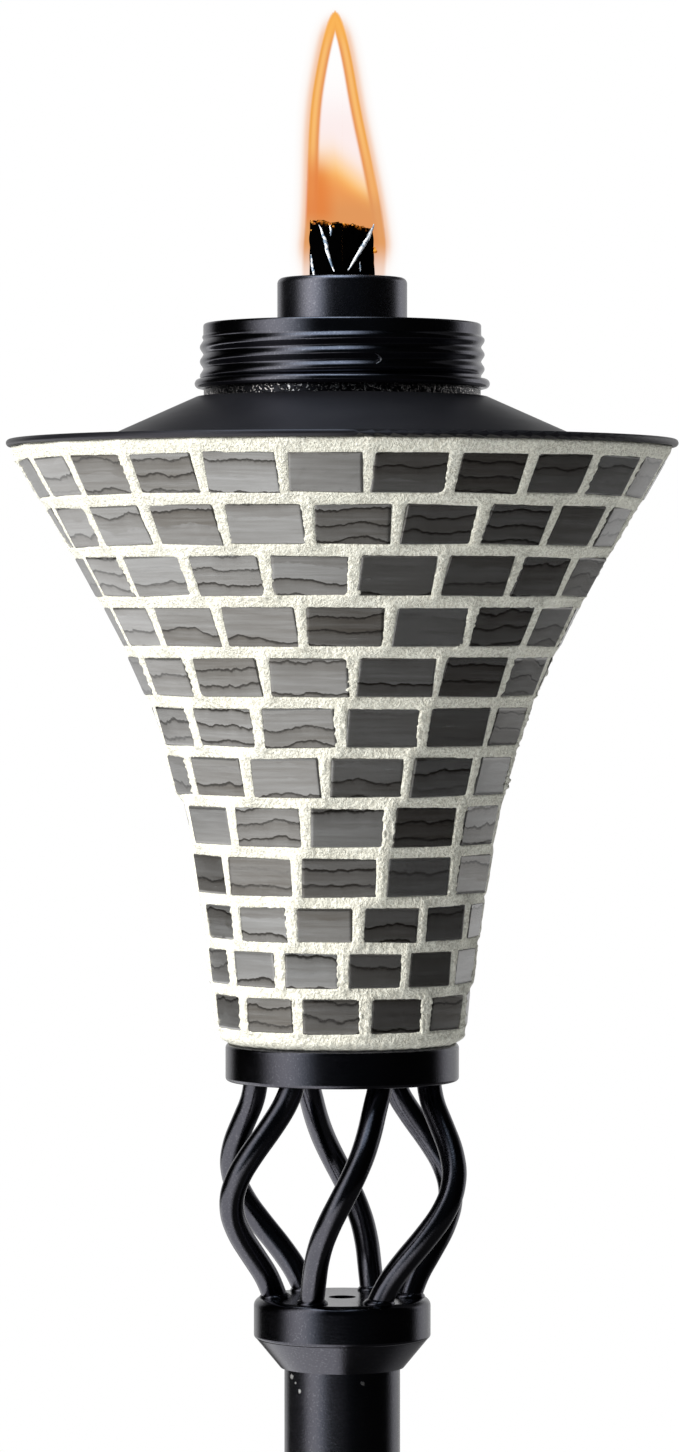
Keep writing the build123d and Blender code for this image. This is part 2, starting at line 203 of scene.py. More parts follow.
def powder_coat(name, roughness, grain_depth, chips=(), bright=1.0):
    """Metallic black powder coat: fine relief and pale flecks, and small bare chips at the given places."""
    dark = [bright * part for part in COAT_DARK]
    light = [bright * part for part in COAT_LIGHT]
    material, s, shader = finish(name)
    fine = s.grain(2600.0, 3.0, 0.6)
    broad = s.grain(90.0, 3.0, 0.55)
    flecks = s.grain(2300.0, 2.0, 0.6).ramp(0.54, 0.70)
    colour = (flecks * 0.45 + broad * 0.25).mix(dark, light)
    chipped = flecks * 0.0
    ragged = s.grain(1300.0, 2.0, 0.6)
    for spot, size in chips:
        far = s.node("ShaderNodeVectorMath", {"operation": "DISTANCE"}, {0: s.place(), 1: spot}, 1)
        chipped = chipped + 1.0 - (far + (ragged - 0.5) * 1.6 * size).ramp(size * 0.6, size)
    feed(
        shader,
        Base_Color=chipped.mix(colour, (0.80, 0.79, 0.77)),
        Metallic=1.0,
        Roughness=roughness + (broad - 0.5) * 0.10 + (fine - 0.5) * 0.12 + chipped * 0.3,
        Normal=s.bump(fine, 0.45, grain_depth),
    )
    return material


pole_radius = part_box("lower_pole")[1].x
cone_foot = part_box("hub_cone")[0].z
chips = []
# Each chip: how far across, how far below the cone, and its size, in millimetres.
for across, below, size in ((-11.0, 1.4, 0.7), (-9.3, 4.3, 0.5), (4.4, 2.2, 0.6), (-10.2, 2.6, 0.3)):
    front = -math.sqrt(pole_radius ** 2 - (across * MM) ** 2)
    chips.append(((across * MM, front, cone_foot - below * MM), size * MM))
pole_coat = powder_coat("pole_coat", 0.20, 0.00008)
top_pole_coat = powder_coat("top_pole_coat", 0.20, 0.00008, chips)
paint(pole_coat, "lower_pole", "middle_pole")
paint(top_pole_coat, "upper_pole")


# ---------------------------------------------------------------------------------------------------------
# Hub and cage: a cone pressed on the pole's end, a pressed base, six round bars twisted together, and the
# pressed ring above them. Small weld beads sit at the bars' feet, and all of it is powder coated as one.
# ---------------------------------------------------------------------------------------------------------
def new_piece(name, points, faces, body, material):
    """A mesh piece from its points and faces, with its finish, on a body."""
    mesh = bpy.data.meshes.new(name)
    mesh.from_pydata([tuple(point) for point in points], [], faces)
    mesh.update()
    mesh.polygons.foreach_set("use_smooth", [True] * len(mesh.polygons))
    piece = bpy.data.objects.new(name, mesh)
    bpy.context.scene.collection.objects.link(piece)
    mesh.materials.append(material)
    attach(piece, body)
    return piece


def band(first, second, around, flip=False):
    """The faces between two rings of points."""
    faces = []
    for step in range(around):
        after = (step + 1) % around
        face = (first + step, first + after, second + after, second + step)
        faces.append(face[::-1] if flip else face)
    return faces


cage_coat = powder_coat("cage_coat", 0.17, 0.00005)
bars = [f"cage_bar_{number}" for number in range(1, 7)]
paint(cage_coat, "hub_cone", "cage_base", "cage_ring", *bars)
base_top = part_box("cage_base")[1].z
BEAD_AROUND = 24
BEAD_LOOPS = ((3.5, -0.2), (3.4, 0.35), (3.0, 0.8), (2.5, 1.1))
bead_points = []
bead_faces = []
for bar in bars:
    ends = [vertex.co for vertex in nodes[bar].data.vertices if vertex.co.z < base_top + 0.2 * MM]
    middle = sum(ends, Vector()) / len(ends)
    start = len(bead_points)
    for reach, lift in BEAD_LOOPS:
        for step in range(BEAD_AROUND):
            turn = math.tau * step / BEAD_AROUND
            ripple = 1 + 0.06 * noise.noise(Vector((3 * math.cos(turn), 3 * math.sin(turn), middle.x * 900)))
            x = middle.x + reach * MM * ripple * math.cos(turn)
            y = middle.y + reach * MM * ripple * math.sin(turn)
            bead_points.append((x, y, base_top + lift * MM))
    for loop in range(len(BEAD_LOOPS) - 1):
        bead_faces += band(start + loop * BEAD_AROUND, start + (loop + 1) * BEAD_AROUND, BEAD_AROUND)
    bead_faces.append(tuple(reversed(range(start, start + BEAD_AROUND))))
    bead_faces.append(tuple(range(len(bead_points) - BEAD_AROUND, len(bead_points))))
new_piece("weld_beads", bead_points, bead_faces, "head", cage_coat)


# ---------------------------------------------------------------------------------------------------------
# Canister fastening: a zinc plated stud on the vessel's floor, with its washer and nut inside the ring.
# ---------------------------------------------------------------------------------------------------------
zinc, s, shader = finish("zinc_plate")
crystals = s.grain(700.0, 3.0)
feed(
    shader,
    Base_Color=crystals.mix((0.42, 0.43, 0.45), (0.60, 0.61, 0.63)),
    Metallic=1.0,
    Roughness=0.28 + crystals * 0.2,
    Normal=s.bump(crystals, 0.2, 0.00005),
)
paint(zinc, "canister_stud", "stud_washer", "stud_nut", "wick_tube")


# ---------------------------------------------------------------------------------------------------------
# Canister: the spun steel vessel that holds the fuel. It shows only at its mouth and through the neck, as
# dull steel with the fine rings that spinning leaves.
# ---------------------------------------------------------------------------------------------------------
vessel_steel, s, shader = finish("vessel_steel")
rings = s.grain(1.0, 2.0, 0.5, s.stretched(15.0, 1800.0))
feed(
    shader,
    Base_Color=rings.mix((0.26, 0.26, 0.27), (0.38, 0.38, 0.39)),
    Metallic=1.0,
    Roughness=0.38 + rings * 0.15,
    Normal=s.bump(rings, 0.3, 0.00008),
)
paint(vessel_steel, "canister")


# ---------------------------------------------------------------------------------------------------------
# Grout: cream sanded mortar pressed between the tiles by hand, just under their faces, with lumps where it
# was wiped over a tile's edge and a smooth band under the rim.
# ---------------------------------------------------------------------------------------------------------
# Rows are counted from the top. The lowest few have narrower tiles.
ROWS = 12
SMALL_ROWS = 3
JOINT = 2.1 * MM
TILE_THICKNESS = 2.0 * MM
TILE_WIDTH = 16.1 * MM
SMALL_TILE_WIDTH = 12.2 * MM
# How far each row is turned, in degrees, from a joint at the middle of the front.
ROW_TURNS = [4.5, 10.6, 2.6, 11.3, 2.7, -0.5, 21.9, 16.9, 15.4, 6.7, 0.3, 10.3]
GROUT_UNDER_FACE = 0.06 * MM


def attribute(piece, name, values, kind="FLOAT"):
    """Store one value, or one vector, for each point of a piece."""
    layer = piece.data.attributes.new(name, kind, "POINT")
    key = "value" if kind == "FLOAT" else "vector"
    layer.data.foreach_set(key, np.asarray(values, np.float32).ravel())


def row_line(row):
    """The foot and the top of a row's tile faces, each as (height, radius)."""
    low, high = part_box(f"tile_row_{row + 1:02d}")
    points = np.array([vertex.co for vertex in nodes[f"tile_row_{row + 1:02d}"].data.vertices])
    radius = np.hypot(points[:, 0], points[:, 1])
    foot = radius[points[:, 2] < low.z + 0.4 * MM].max()
    top = radius[points[:, 2] > high.z - 0.4 * MM].max()
    return low.z, foot, high.z, top


row_lines = [row_line(row) for row in range(ROWS)]
row_counts = []
for row, (low, foot, high, top) in enumerate(row_lines):
    width = TILE_WIDTH if row < ROWS - SMALL_ROWS else SMALL_TILE_WIDTH
    row_counts.append(round(math.tau * (foot + top) / 2 / (width + JOINT)))


def face_radius(row, angle, height):
    """How far from the axis the flat faces of a row are, in this direction and at this height."""
    low, foot, high, top = row_lines[row]
    share = (height - low) / (high - low)
    radius = foot + (top - foot) * share
    step = math.tau / row_counts[row]
    start = math.radians(-90 + ROW_TURNS[row]) + step / 2
    off = (angle - start + step / 2) % step - step / 2
    return radius * (1 - step * step / 16) / math.cos(off)


def in_tile(angle, height):
    """Millimetres inside the nearest tile, below 0 in a joint, and whether a joint is crumbly here."""
    for row, (low, foot, high, top) in enumerate(row_lines):
        if low - JOINT / 2 <= height <= high + JOINT / 2:
            step = math.tau / row_counts[row]
            start = math.radians(-90 + ROW_TURNS[row])
            joint = round((angle - start) / step)
            beside = abs(angle - start - joint * step) * (foot + top) / 2 - JOINT / 2
            crumbly = random.Random(row * 40 + joint % row_counts[row]).random() < 0.4
            inside = min(beside, (height - low) * 1.1, (high - height) * 1.1)
            return inside / MM, crumbly and beside < 0.8 * MM
    return -1.0, False


def mosaic_radius(angle, height):
    """The level of the tile faces round the vessel, blended across the joints between rows."""
    for row in range(ROWS):
        if height >= row_lines[row][0]:
            if row == 0 or height <= row_lines[row][2]:
                return face_radius(row, angle, height)
            gap_low = row_lines[row][2]
            gap_high = row_lines[row - 1][0]
            share = (height - gap_low) / (gap_high - gap_low)
            below = face_radius(row, angle, height)
            return below + (face_radius(row - 1, angle, height) - below) * share
    return face_radius(ROWS - 1, angle, height)


grout_low, grout_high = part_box("grout")
GROUT_AROUND = 720
GROUT_UP = 300
GROUT_DEEP = 3.0 * MM
outer_points = []
for level in range(GROUT_UP + 1):
    height = grout_low.z + (grout_high.z - grout_low.z) * level / GROUT_UP
    for around in range(GROUT_AROUND):
        angle = math.tau * around / GROUT_AROUND
        spot = Vector((math.cos(angle), math.sin(angle), 0)) * 0.05 + Vector((0, 0, height))
        inside, crumbly = in_tile(angle, height)
        lumps = noise.noise(spot * 420) * 0.13 + noise.noise(spot * 1100) * 0.12
        if crumbly and inside < 0.8:
            edge_only = max(0.0, 1 - abs(inside - 0.1) / 0.8)
            lumps += max(0.0, noise.noise(spot * 1150) + 0.15) * 0.9 * edge_only
        sunk = GROUT_UNDER_FACE + 0.9 * MM * min(max((inside - 0.15) / 0.8, 0.0), 1.0)
        radius = mosaic_radius(angle, height) - sunk + lumps * MM
        under_tiles = (row_lines[-1][0] - height) / (1.2 * MM)
        if under_tiles > 0:
            radius += (row_lines[-1][1] - 0.6 * MM - radius) * min(under_tiles, 1.0)
        foot_gap = (height - grout_low.z) / (2.0 * MM)
        if foot_gap < 1:
            radius -= 2.2 * MM * (1 - foot_gap) ** 2 - noise.noise(spot * 300) * 0.5 * MM
        rim_gap = (grout_high.z - height) / (1.0 * MM)
        if rim_gap < 1:
            radius -= 0.5 * MM * (1 - rim_gap) ** 2
        outer_points.append(Vector((radius * math.cos(angle), radius * math.sin(angle), height)))
inner_points = []
for point in outer_points:
    radius = math.hypot(point.x, point.y)
    inner_points.append(Vector((point.x, point.y, 0)) * (1 - GROUT_DEEP / radius) + Vector((0, 0, point.z)))


def skin(rows, around, start=0, flip=False):
    """The faces of a closed-round grid of points."""
    faces = []
    for level in range(rows):
        for step in range(around):
            a = start + level * around + step
            b = start + level * around + (step + 1) % around
            face = (a, b, b + around, a + around)
            faces.append(face[::-1] if flip else face)
    return faces


mortar, s, shader = finish("grout_mortar")
sand = s.grain(1700.0, 2.0, 0.75)
coarse = s.grain(800.0, 2.0, 0.6)
clouds = s.grain(70.0, 3.0, 0.6)
# Darker where the sand's relief is low: painted shade in the pits.
pit_shade = (sand * 0.75 + coarse * 0.25).ramp(0.58, 0.40)
cream = clouds.mix((0.86, 0.845, 0.72), (0.94, 0.93, 0.84))
feed(
    shader,
    Base_Color=(pit_shade * 0.52).mix(cream, (0.42, 0.39, 0.31)),
    Roughness=0.92,
    Specular_IOR_Level=0.2,
    Normal=s.bump(sand * 1.4 + coarse, 1.0, 0.0004),
)
count = len(outer_points)
last = GROUT_UP * GROUT_AROUND
faces = skin(GROUT_UP, GROUT_AROUND)
faces += skin(GROUT_UP, GROUT_AROUND, count, flip=True)
faces += band(last, count + last, GROUT_AROUND)
faces += band(0, count, GROUT_AROUND, flip=True)
grout = new_piece("grout_bed", outer_points + inner_points, faces, "head", mortar)
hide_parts("grout")


# ---------------------------------------------------------------------------------------------------------
# Mosaic tiles: flat pieces of grey glass cut by hand, backed with metal foil, so each takes the light as a
# whole. Currents in the glass show as level bands with thin dark edges, different on each tile.
# ---------------------------------------------------------------------------------------------------------
FACE_BEVEL = 0.35 * MM
CORNER = 0.28 * MM
CORNERS = ((1, 1), (-1, 1), (-1, -1), (1, -1))
CORNER_TURNS = (0, 30, 60, 90)
EDGE_SHARES = (0.25, 0.5, 0.75)
OUTLINE = len(CORNERS) * (len(CORNER_TURNS) + len(EDGE_SHARES))
tile_glass, s, shader = finish("tile_glass")
spot = s.stored("tile_spot", 1)
tone = s.stored("tile_tone")
side = s.stored("tile_side_shade")
along, up, seed = [spot.split(axis) for axis in range(3)]
drift = s.grain(1.0, 1.5, 0.5, s.point(along * 110.0, seed * 37.0, up * 60.0))
fringe = s.grain(1.0, 2.5, 0.65, s.point(along * 520.0, seed * 11.0, up * 200.0))
level = up * 275.0 + seed * 9.0 + drift * 1.25 + fringe * 0.42
band_number = level.math("FLOOR", level)
band_share = level - band_number
draw_number = {"W": band_number + seed * 100.0}
band_tone = s.node("ShaderNodeTexWhiteNoise", {"noise_dimensions": "1D"}, draw_number)
wanted = band_tone.ramp(0.35, 0.45)
edge_line = band_share.ramp(0.80, 0.93) * (1.0 - band_share.ramp(0.985, 1.0)) * wanted
sediment = band_share * band_share * wanted
streaks = s.grain(1.0, 3.0, 0.65, s.point(along * 50.0, seed * 5.0, up * 1100.0))
body_tone = tone * 0.45 + (1.0 - band_tone) * 0.42 + (streaks - 0.5) + 0.04
glass = body_tone.mix((0.120, 0.108, 0.092), (0.345, 0.345, 0.340))
glass = (sediment * 0.75).mix(glass, (0.075, 0.066, 0.055))
glass = (edge_line * 0.9).mix(glass, (0.020, 0.017, 0.013))
# The cut sides and a thin rim round each face turn dark: painted shade where the tiles meet the grout.
glass = (side * 0.9).mix(glass, (0.045, 0.043, 0.038))
feed(
    shader,
    Base_Color=glass,
    Metallic=0.75 - side * 0.6,
    Roughness=0.20 + streaks * 0.10 + side * 0.3,
    Normal=s.bump(drift * 0.6 - edge_line * 0.3, 0.3, 0.0004),
    Coat_Weight=0.35,
    Coat_Roughness=0.06,
)


def tile_outline(half_width, half_height, chance):
    """Points round a rectangle with rounded corners, each moved by its own chance, as hand cutting does."""
    points = []
    for corner, (sign_u, sign_v) in enumerate(CORNERS):
        middle_u = sign_u * (half_width - CORNER)
        middle_v = sign_v * (half_height - CORNER)
        for degrees in CORNER_TURNS:
            turn = math.radians(90 * corner + degrees)
            points.append((middle_u + CORNER * math.cos(turn), middle_v + CORNER * math.sin(turn)))
        ahead_sign_u, ahead_sign_v = CORNERS[(corner + 1) % 4]
        ahead_u = ahead_sign_u * (half_width - CORNER)
        ahead_v = ahead_sign_v * (half_height - CORNER)
        for share in EDGE_SHARES:
            u = middle_u + (ahead_u - middle_u) * share + CORNER * math.cos(turn)
            v = middle_v + (ahead_v - middle_v) * share + CORNER * math.sin(turn)
            points.append((u, v))
    return [(u + du, v + dv) for (u, v), (du, dv) in zip(points, chance)]


for row in range(ROWS):
    low, foot, high, top = row_lines[row]
    draw = random.Random(100 + row)
    step = math.tau / row_counts[row]
    width = step * (foot + top) / 2 - JOINT
    slope = math.atan2(top - foot, high - low)
    reach = math.hypot(top - foot, high - low)
    points = []
    faces = []
    spots = []
    tones = []
    sides = []
    for number in range(row_counts[row]):
        angle = math.radians(-90 + ROW_TURNS[row]) + step * (number + 0.5)
        angle += draw.uniform(-0.2, 0.2) * MM / foot
        middle_radius = (foot + top) / 2 * (1 - step * step / 16) + draw.uniform(-0.12, 0.12) * MM
        outward = Vector((math.cos(angle), math.sin(angle), 0))
        across = Vector((-math.sin(angle), math.cos(angle), 0))
        rise = Vector((0, 0, math.cos(slope))) + outward * math.sin(slope)
        face_out = outward * math.cos(slope) - Vector((0, 0, math.sin(slope)))
        lean = Matrix.Rotation(math.radians(draw.gauss(0, 0.9)), 3, rise)
        lean = lean @ Matrix.Rotation(math.radians(draw.gauss(0, 0.9)), 3, across)
        lean = lean @ Matrix.Rotation(math.radians(draw.gauss(0, 0.7)), 3, face_out)
        across, rise, face_out = lean @ across, lean @ rise, lean @ face_out
        centre = outward * middle_radius + Vector((0, 0, (low + high) / 2))
        half_width = width / 2 * draw.uniform(0.97, 1.03)
        half_height = reach / 2 * draw.uniform(0.96, 1.01)
        seed_value = draw.random()
        tone_value = draw.random()
        chance = [(draw.gauss(0, 0.025) * MM, draw.gauss(0, 0.025) * MM) for place in range(OUTLINE)]
        # Each loop: how far in from the edge, how far out from the face, and how much of it is the cut side,
        # which is darkened as painted shade.
        loops = [
            (0.0, -TILE_THICKNESS, 1.0),
            (0.0, -FACE_BEVEL, 1.0),
            (0.3 * FACE_BEVEL, -0.3 * FACE_BEVEL, 0.6),
            (FACE_BEVEL, 0.0, 0.0),
            (2.2 * FACE_BEVEL, 0.02 * MM, 0.0),
        ]
        start = len(points)
        for inset, lift, side_shade in loops:
            for u, v in tile_outline(half_width - inset, half_height - inset, chance):
                points.append(centre + across * u + rise * v + face_out * lift)
                spots.append((u, v, seed_value))
                tones.append(tone_value)
                sides.append(side_shade)
        for loop in range(len(loops) - 1):
            faces += band(start + loop * OUTLINE, start + (loop + 1) * OUTLINE, OUTLINE)
        end = start + (len(loops) - 1) * OUTLINE
        faces.append(tuple(range(end, end + OUTLINE)))
        faces.append(tuple(reversed(range(start, start + OUTLINE))))
    tiles = new_piece(f"glass_tiles_{row + 1:02d}", points, faces, "head", tile_glass)
    attribute(tiles, "tile_spot", spots, "FLOAT_VECTOR")
    attribute(tiles, "tile_tone", tones)
    attribute(tiles, "tile_side_shade", sides)
    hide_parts(f"tile_row_{row + 1:02d}")


# ---------------------------------------------------------------------------------------------------------
# Shoulder and neck: a pressed steel lid rolled over the vessel's mouth, and the threaded ring in its middle.
# Both are sprayed satin black; oil and dust cling to the neck under the cap.
# ---------------------------------------------------------------------------------------------------------
shoulder_coat, s, shader = finish("shoulder_coat")
spun = s.grain(1.0, 3.0, 0.6, s.stretched(60.0, 900.0))
cloud = s.grain(55.0, 3.0, 0.6)
feed(
    shader,
    Base_Color=(cloud * 0.6).mix((0.035, 0.035, 0.046), (0.075, 0.070, 0.070)),
    Metallic=0.8,
    Roughness=0.27 + cloud * 0.10 + spun * 0.06,
    Normal=s.bump(spun, 0.2, 0.00006),
)
paint(shoulder_coat, "shoulder")
neck_coat, s, shader = finish("neck_coat")
neck_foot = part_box("neck")[0].z
above_foot = s.place().split(2) - neck_foot
drops = s.grain(1700.0, 2.0, 0.65).ramp(0.50, 0.60) * (1.0 - above_foot.ramp(3.0 * MM, 4.5 * MM))
feed(
    shader,
    Base_Color=drops.mix((0.03, 0.03, 0.035), (0.75, 0.72, 0.70)),
    Metallic=1.0,
    Roughness=0.30 - drops * 0.12,
    Normal=s.bump(drops, 1.0, 0.0004),
)
paint(neck_coat, "neck")
gasket_rubber, s, shader = finish("gasket_rubber")
feed(shader, Base_Color=s.grain(400.0).mix((0.012, 0.012, 0.012), (0.03, 0.03, 0.03)), Roughness=0.8)
paint(gasket_rubber, "cap_gasket")


# ---------------------------------------------------------------------------------------------------------
# Cap and collar: the screw cap is drawn from sheet, its thread rolled in and its lower edge curled. The
# wick collar is a second pressing welded on top. Both are painted satin black.
# ---------------------------------------------------------------------------------------------------------
cap_coat = powder_coat("cap_coat", 0.16, 0.00003, bright=1.3)
collar_coat = powder_coat("collar_coat", 0.27, 0.00004, bright=2.0)
paint(collar_coat, "wick_collar")
PITCH = 3.15 * MM
RIDGE_DEPTH = 0.75 * MM
CAP_WALL = 0.65 * MM
CURL_RADIUS = 1.05 * MM
CAP_CORNER = 0.6 * MM
CAP_AROUND = 360
WALL_STEPS = 90
cap_low, cap_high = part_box("flame_cap")
cap_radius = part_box("cap_gasket")[1].x + 0.75 * MM + CAP_WALL
tube_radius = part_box("wick_tube")[1].x
curl_circle = cap_radius + CURL_RADIUS - 0.2 * MM
curl_height = cap_low.z + CURL_RADIUS
thread_foot = neck_foot + 4.5 * MM
thread_top = cap_high.z - 2.4 * MM


def rolled(angle, height):
    """How far the rolled thread stands out of the cap's wall, in this direction and at this height."""
    turns = (angle / math.tau + 0.5) % 1.0
    phase = (height - thread_foot) / PITCH - turns
    crest = 0.5 + 0.5 * math.cos(math.tau * phase)
    start = min(max((phase + 0.55) / 0.2, 0.0), 1.0)
    fade = min(max((thread_top - height) / (0.9 * MM), 0.0), 1.0)
    return RIDGE_DEPTH * crest ** 0.8 * start * fade * fade * (3 - 2 * fade)


profile = [(tube_radius, cap_high.z), (cap_radius - 2.5 * MM, cap_high.z)]
for step in range(7):
    turn = math.radians(90 - 15 * step)
    radius = cap_radius + CAP_CORNER * (math.cos(turn) - 1)
    profile.append((radius, cap_high.z + CAP_CORNER * (math.sin(turn) - 1)))
wall_first = len(profile)
wall_last = wall_first + WALL_STEPS
wall_top = cap_high.z - 0.7 * MM
wall_foot = curl_height + 0.9 * MM
for step in range(WALL_STEPS + 1):
    profile.append((cap_radius, wall_top + (wall_foot - wall_top) * step / WALL_STEPS))
for step in range(21):
    turn = math.radians(125 - 15 * step)
    profile.append((curl_circle + CURL_RADIUS * math.cos(turn), curl_height + CURL_RADIUS * math.sin(turn)))
profile.append((cap_radius - CAP_WALL, curl_height + 0.6 * MM))
profile.append((cap_radius - CAP_WALL, cap_high.z - CAP_WALL))
profile.append((tube_radius, cap_high.z - CAP_WALL))
points = []
for place, (radius, height) in enumerate(profile):
    for around in range(CAP_AROUND):
        angle = math.tau * around / CAP_AROUND
        out = radius + (rolled(angle, height) if wall_first <= place <= wall_last else 0.0)
        points.append((out * math.cos(angle), out * math.sin(angle), height))
faces = skin(len(profile) - 1, CAP_AROUND, flip=True)
faces += band((len(profile) - 1) * CAP_AROUND, 0, CAP_AROUND, flip=True)
cap = new_piece("rolled_cap", points, faces, "cap", cap_coat)
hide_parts("flame_cap")


def strand(name, spine, thickness, body, material, sides=8):
    """A tapered round thread along a line of points."""
    points = []
    faces = []
    for place, spot in enumerate(spine):
        ahead = spine[min(place + 1, len(spine) - 1)] - spine[max(place - 1, 0)]
        first = ahead.cross(Vector((spot.x, spot.y, 0))).normalized()
        second = ahead.cross(first).normalized()
        swell = thickness * (0.25 + 0.75 * math.sin(math.pi * (place + 0.5) / len(spine)))
        for step in range(sides):
            turn = math.tau * step / sides
            points.append(spot + (first * math.cos(turn) + second * math.sin(turn)) * swell)
    for place in range(len(spine) - 1):
        faces += band(place * sides, (place + 1) * sides, sides)
    faces.append(tuple(range(sides)))
    faces.append(tuple(reversed(range((len(spine) - 1) * sides, len(spine) * sides))))
    return new_piece(name, points, faces, body, material)


def on_round(radius, angle, height):
    """A point at a radius, an angle in degrees from the front to the right, and a height."""
    turn = math.radians(angle - 90)
    return Vector((radius * math.cos(turn), radius * math.sin(turn), height))


# The end of the rolled thread is a small hook in the cap's side, given pale metal as a painted highlight
# along its ridge.
hook = []
for step in range(13):
    share = step / 12
    swing = math.sin(math.pi * share)
    radius = cap_radius + (0.7 - 0.3 * share) * MM
    angle = 13.0 + 4.0 * swing - 3.0 * share
    hook.append(on_round(radius, angle, curl_height + (5.3 - 3.0 * share) * MM))
# Pale metal on the hook: a painted highlight.
hook_highlight_coat, s, shader = finish("hook_highlight_coat")
hook_highlight = s.grain(1500.0).mix((0.25, 0.25, 0.27), (0.75, 0.76, 0.80))
feed(shader, Base_Color=hook_highlight, Metallic=1.0, Roughness=0.35)
strand("thread_run_out", hook, 0.16 * MM, "cap", hook_highlight_coat)


# ---------------------------------------------------------------------------------------------------------
# Wick: a round braid of fibre held in the collar's tube. Its top is charred black, ragged and sloping, with
# a few stray strands whose glints are painted on as pale bluish white, and small embers along the upper
# edge.
# ---------------------------------------------------------------------------------------------------------
wick_low, wick_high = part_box("wick")
collar_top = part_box("wick_collar")[1].z
WICK_RADIUS = 7.2 * MM
WICK_AROUND = 144
WICK_STEPS_BELOW = 120
WICK_STEPS_ABOVE = 60
wick_char, s, shader = finish("wick_char")
glow = s.stored("wick_glow")
fresh = s.stored("wick_fresh")
crumbs = s.grain(1500.0, 3.0, 0.6)
ember = glow * crumbs.ramp(0.46, 0.60)
fibre = fresh.mix((0.0004, 0.0004, 0.0004), (0.55, 0.50, 0.40))
feed(
    shader,
    Base_Color=fibre,
    Roughness=0.75,
    Specular_IOR_Level=0.0,
    Normal=s.bump(crumbs, 0.8, 0.0003),
    Emission_Color=ember.mix((0.0, 0.0, 0.0), (1.0, 0.30, 0.03)),
    Emission_Strength=1.0,
)


def braid(angle, height):
    """Relief of the braid: two families of strands that cross."""
    left = math.sin(12 * angle + height / (1.1 * MM))
    right = math.sin(12 * angle - height / (1.1 * MM))
    return 0.10 * MM * max(left, right)


def wick_top(angle):
    """The ragged upper edge, from high on the left to low on the right."""
    slope = math.tan(math.radians(7.5)) * WICK_RADIUS * (1 + math.cos(angle))
    edge = Vector((math.cos(angle), math.sin(angle), 0))
    jag = noise.noise(edge * 6.0) * 0.35 + noise.noise(edge * 19.0) * 0.30 + noise.noise(edge * 47.0) * 0.16
    return wick_high.z - slope + jag * MM


inside_collar = collar_top - 3 * MM
wick_rows = WICK_STEPS_BELOW + WICK_STEPS_ABOVE
points = []
glows = []
freshes = []
for place in range(wick_rows + 1):
    for around in range(WICK_AROUND):
        angle = math.tau * around / WICK_AROUND
        if place < WICK_STEPS_BELOW:
            height = wick_low.z + (inside_collar - wick_low.z) * place / WICK_STEPS_BELOW
        else:
            share = (place - WICK_STEPS_BELOW) / WICK_STEPS_ABOVE
            height = inside_collar + (wick_top(angle) - inside_collar) * share
        edge = Vector((math.cos(angle), math.sin(angle), 0))
        burnt = min(max((height - collar_top) / (10 * MM), 0.0), 1.0)
        rough = noise.noise(edge * 3 + Vector((0, 0, height * 300))) * 0.25 * MM * burnt
        shrunk = 0.12 * MM + 0.45 * MM * burnt * max(0.0, math.cos(angle))
        radius = WICK_RADIUS - shrunk + braid(angle, height) + rough
        points.append(edge * radius + Vector((0, 0, height)))
        near_edge = 1 - (wick_top(angle) - height) / (0.9 * MM)
        patch = min(max(noise.noise(edge * 5.0 + Vector((9, 0, 0))) * 3 + 0.35, 0.0), 1.0)
        glows.append(max(0.0, near_edge) * patch)
        freshes.append(min(max((collar_top - 6 * MM - height) / (8 * MM), 0.0), 1.0))
faces = skin(wick_rows, WICK_AROUND)
last = wick_rows * WICK_AROUND
for ring, (shrink, drop) in enumerate(((0.80, 0.15), (0.45, 0.55), (0.10, 0.35))):
    for around in range(WICK_AROUND):
        edge = points[last + around]
        jag = noise.noise(Vector((edge.x * 900, edge.y * 900, ring * 5.0))) * 0.35
        points.append(Vector((edge.x * shrink, edge.y * shrink, edge.z + (jag - drop) * MM)))
        glows.append(0.35 if ring == 0 else 0.15)
        freshes.append(0.0)
    faces += band(last + ring * WICK_AROUND, last + (ring + 1) * WICK_AROUND, WICK_AROUND)
faces.append(tuple(range(last + 3 * WICK_AROUND, last + 4 * WICK_AROUND)))
faces.append(tuple(reversed(range(WICK_AROUND))))
burnt_wick = new_piece("burnt_wick", points, faces, "wick", wick_char)
attribute(burnt_wick, "wick_glow", glows)
attribute(burnt_wick, "wick_fresh", freshes)
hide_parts("wick")

ember_glow, s, shader = finish("ember_glow")
crumbs = s.grain(2200.0, 2.0)
feed(
    shader,
    Base_Color=(0.02, 0.01, 0.01, 1.0),
    Roughness=0.9,
    Emission_Color=crumbs.ramp(0.35, 0.65).mix((0.25, 0.02, 0.0), (1.0, 0.45, 0.06)),
    Emission_Strength=1.0,
)
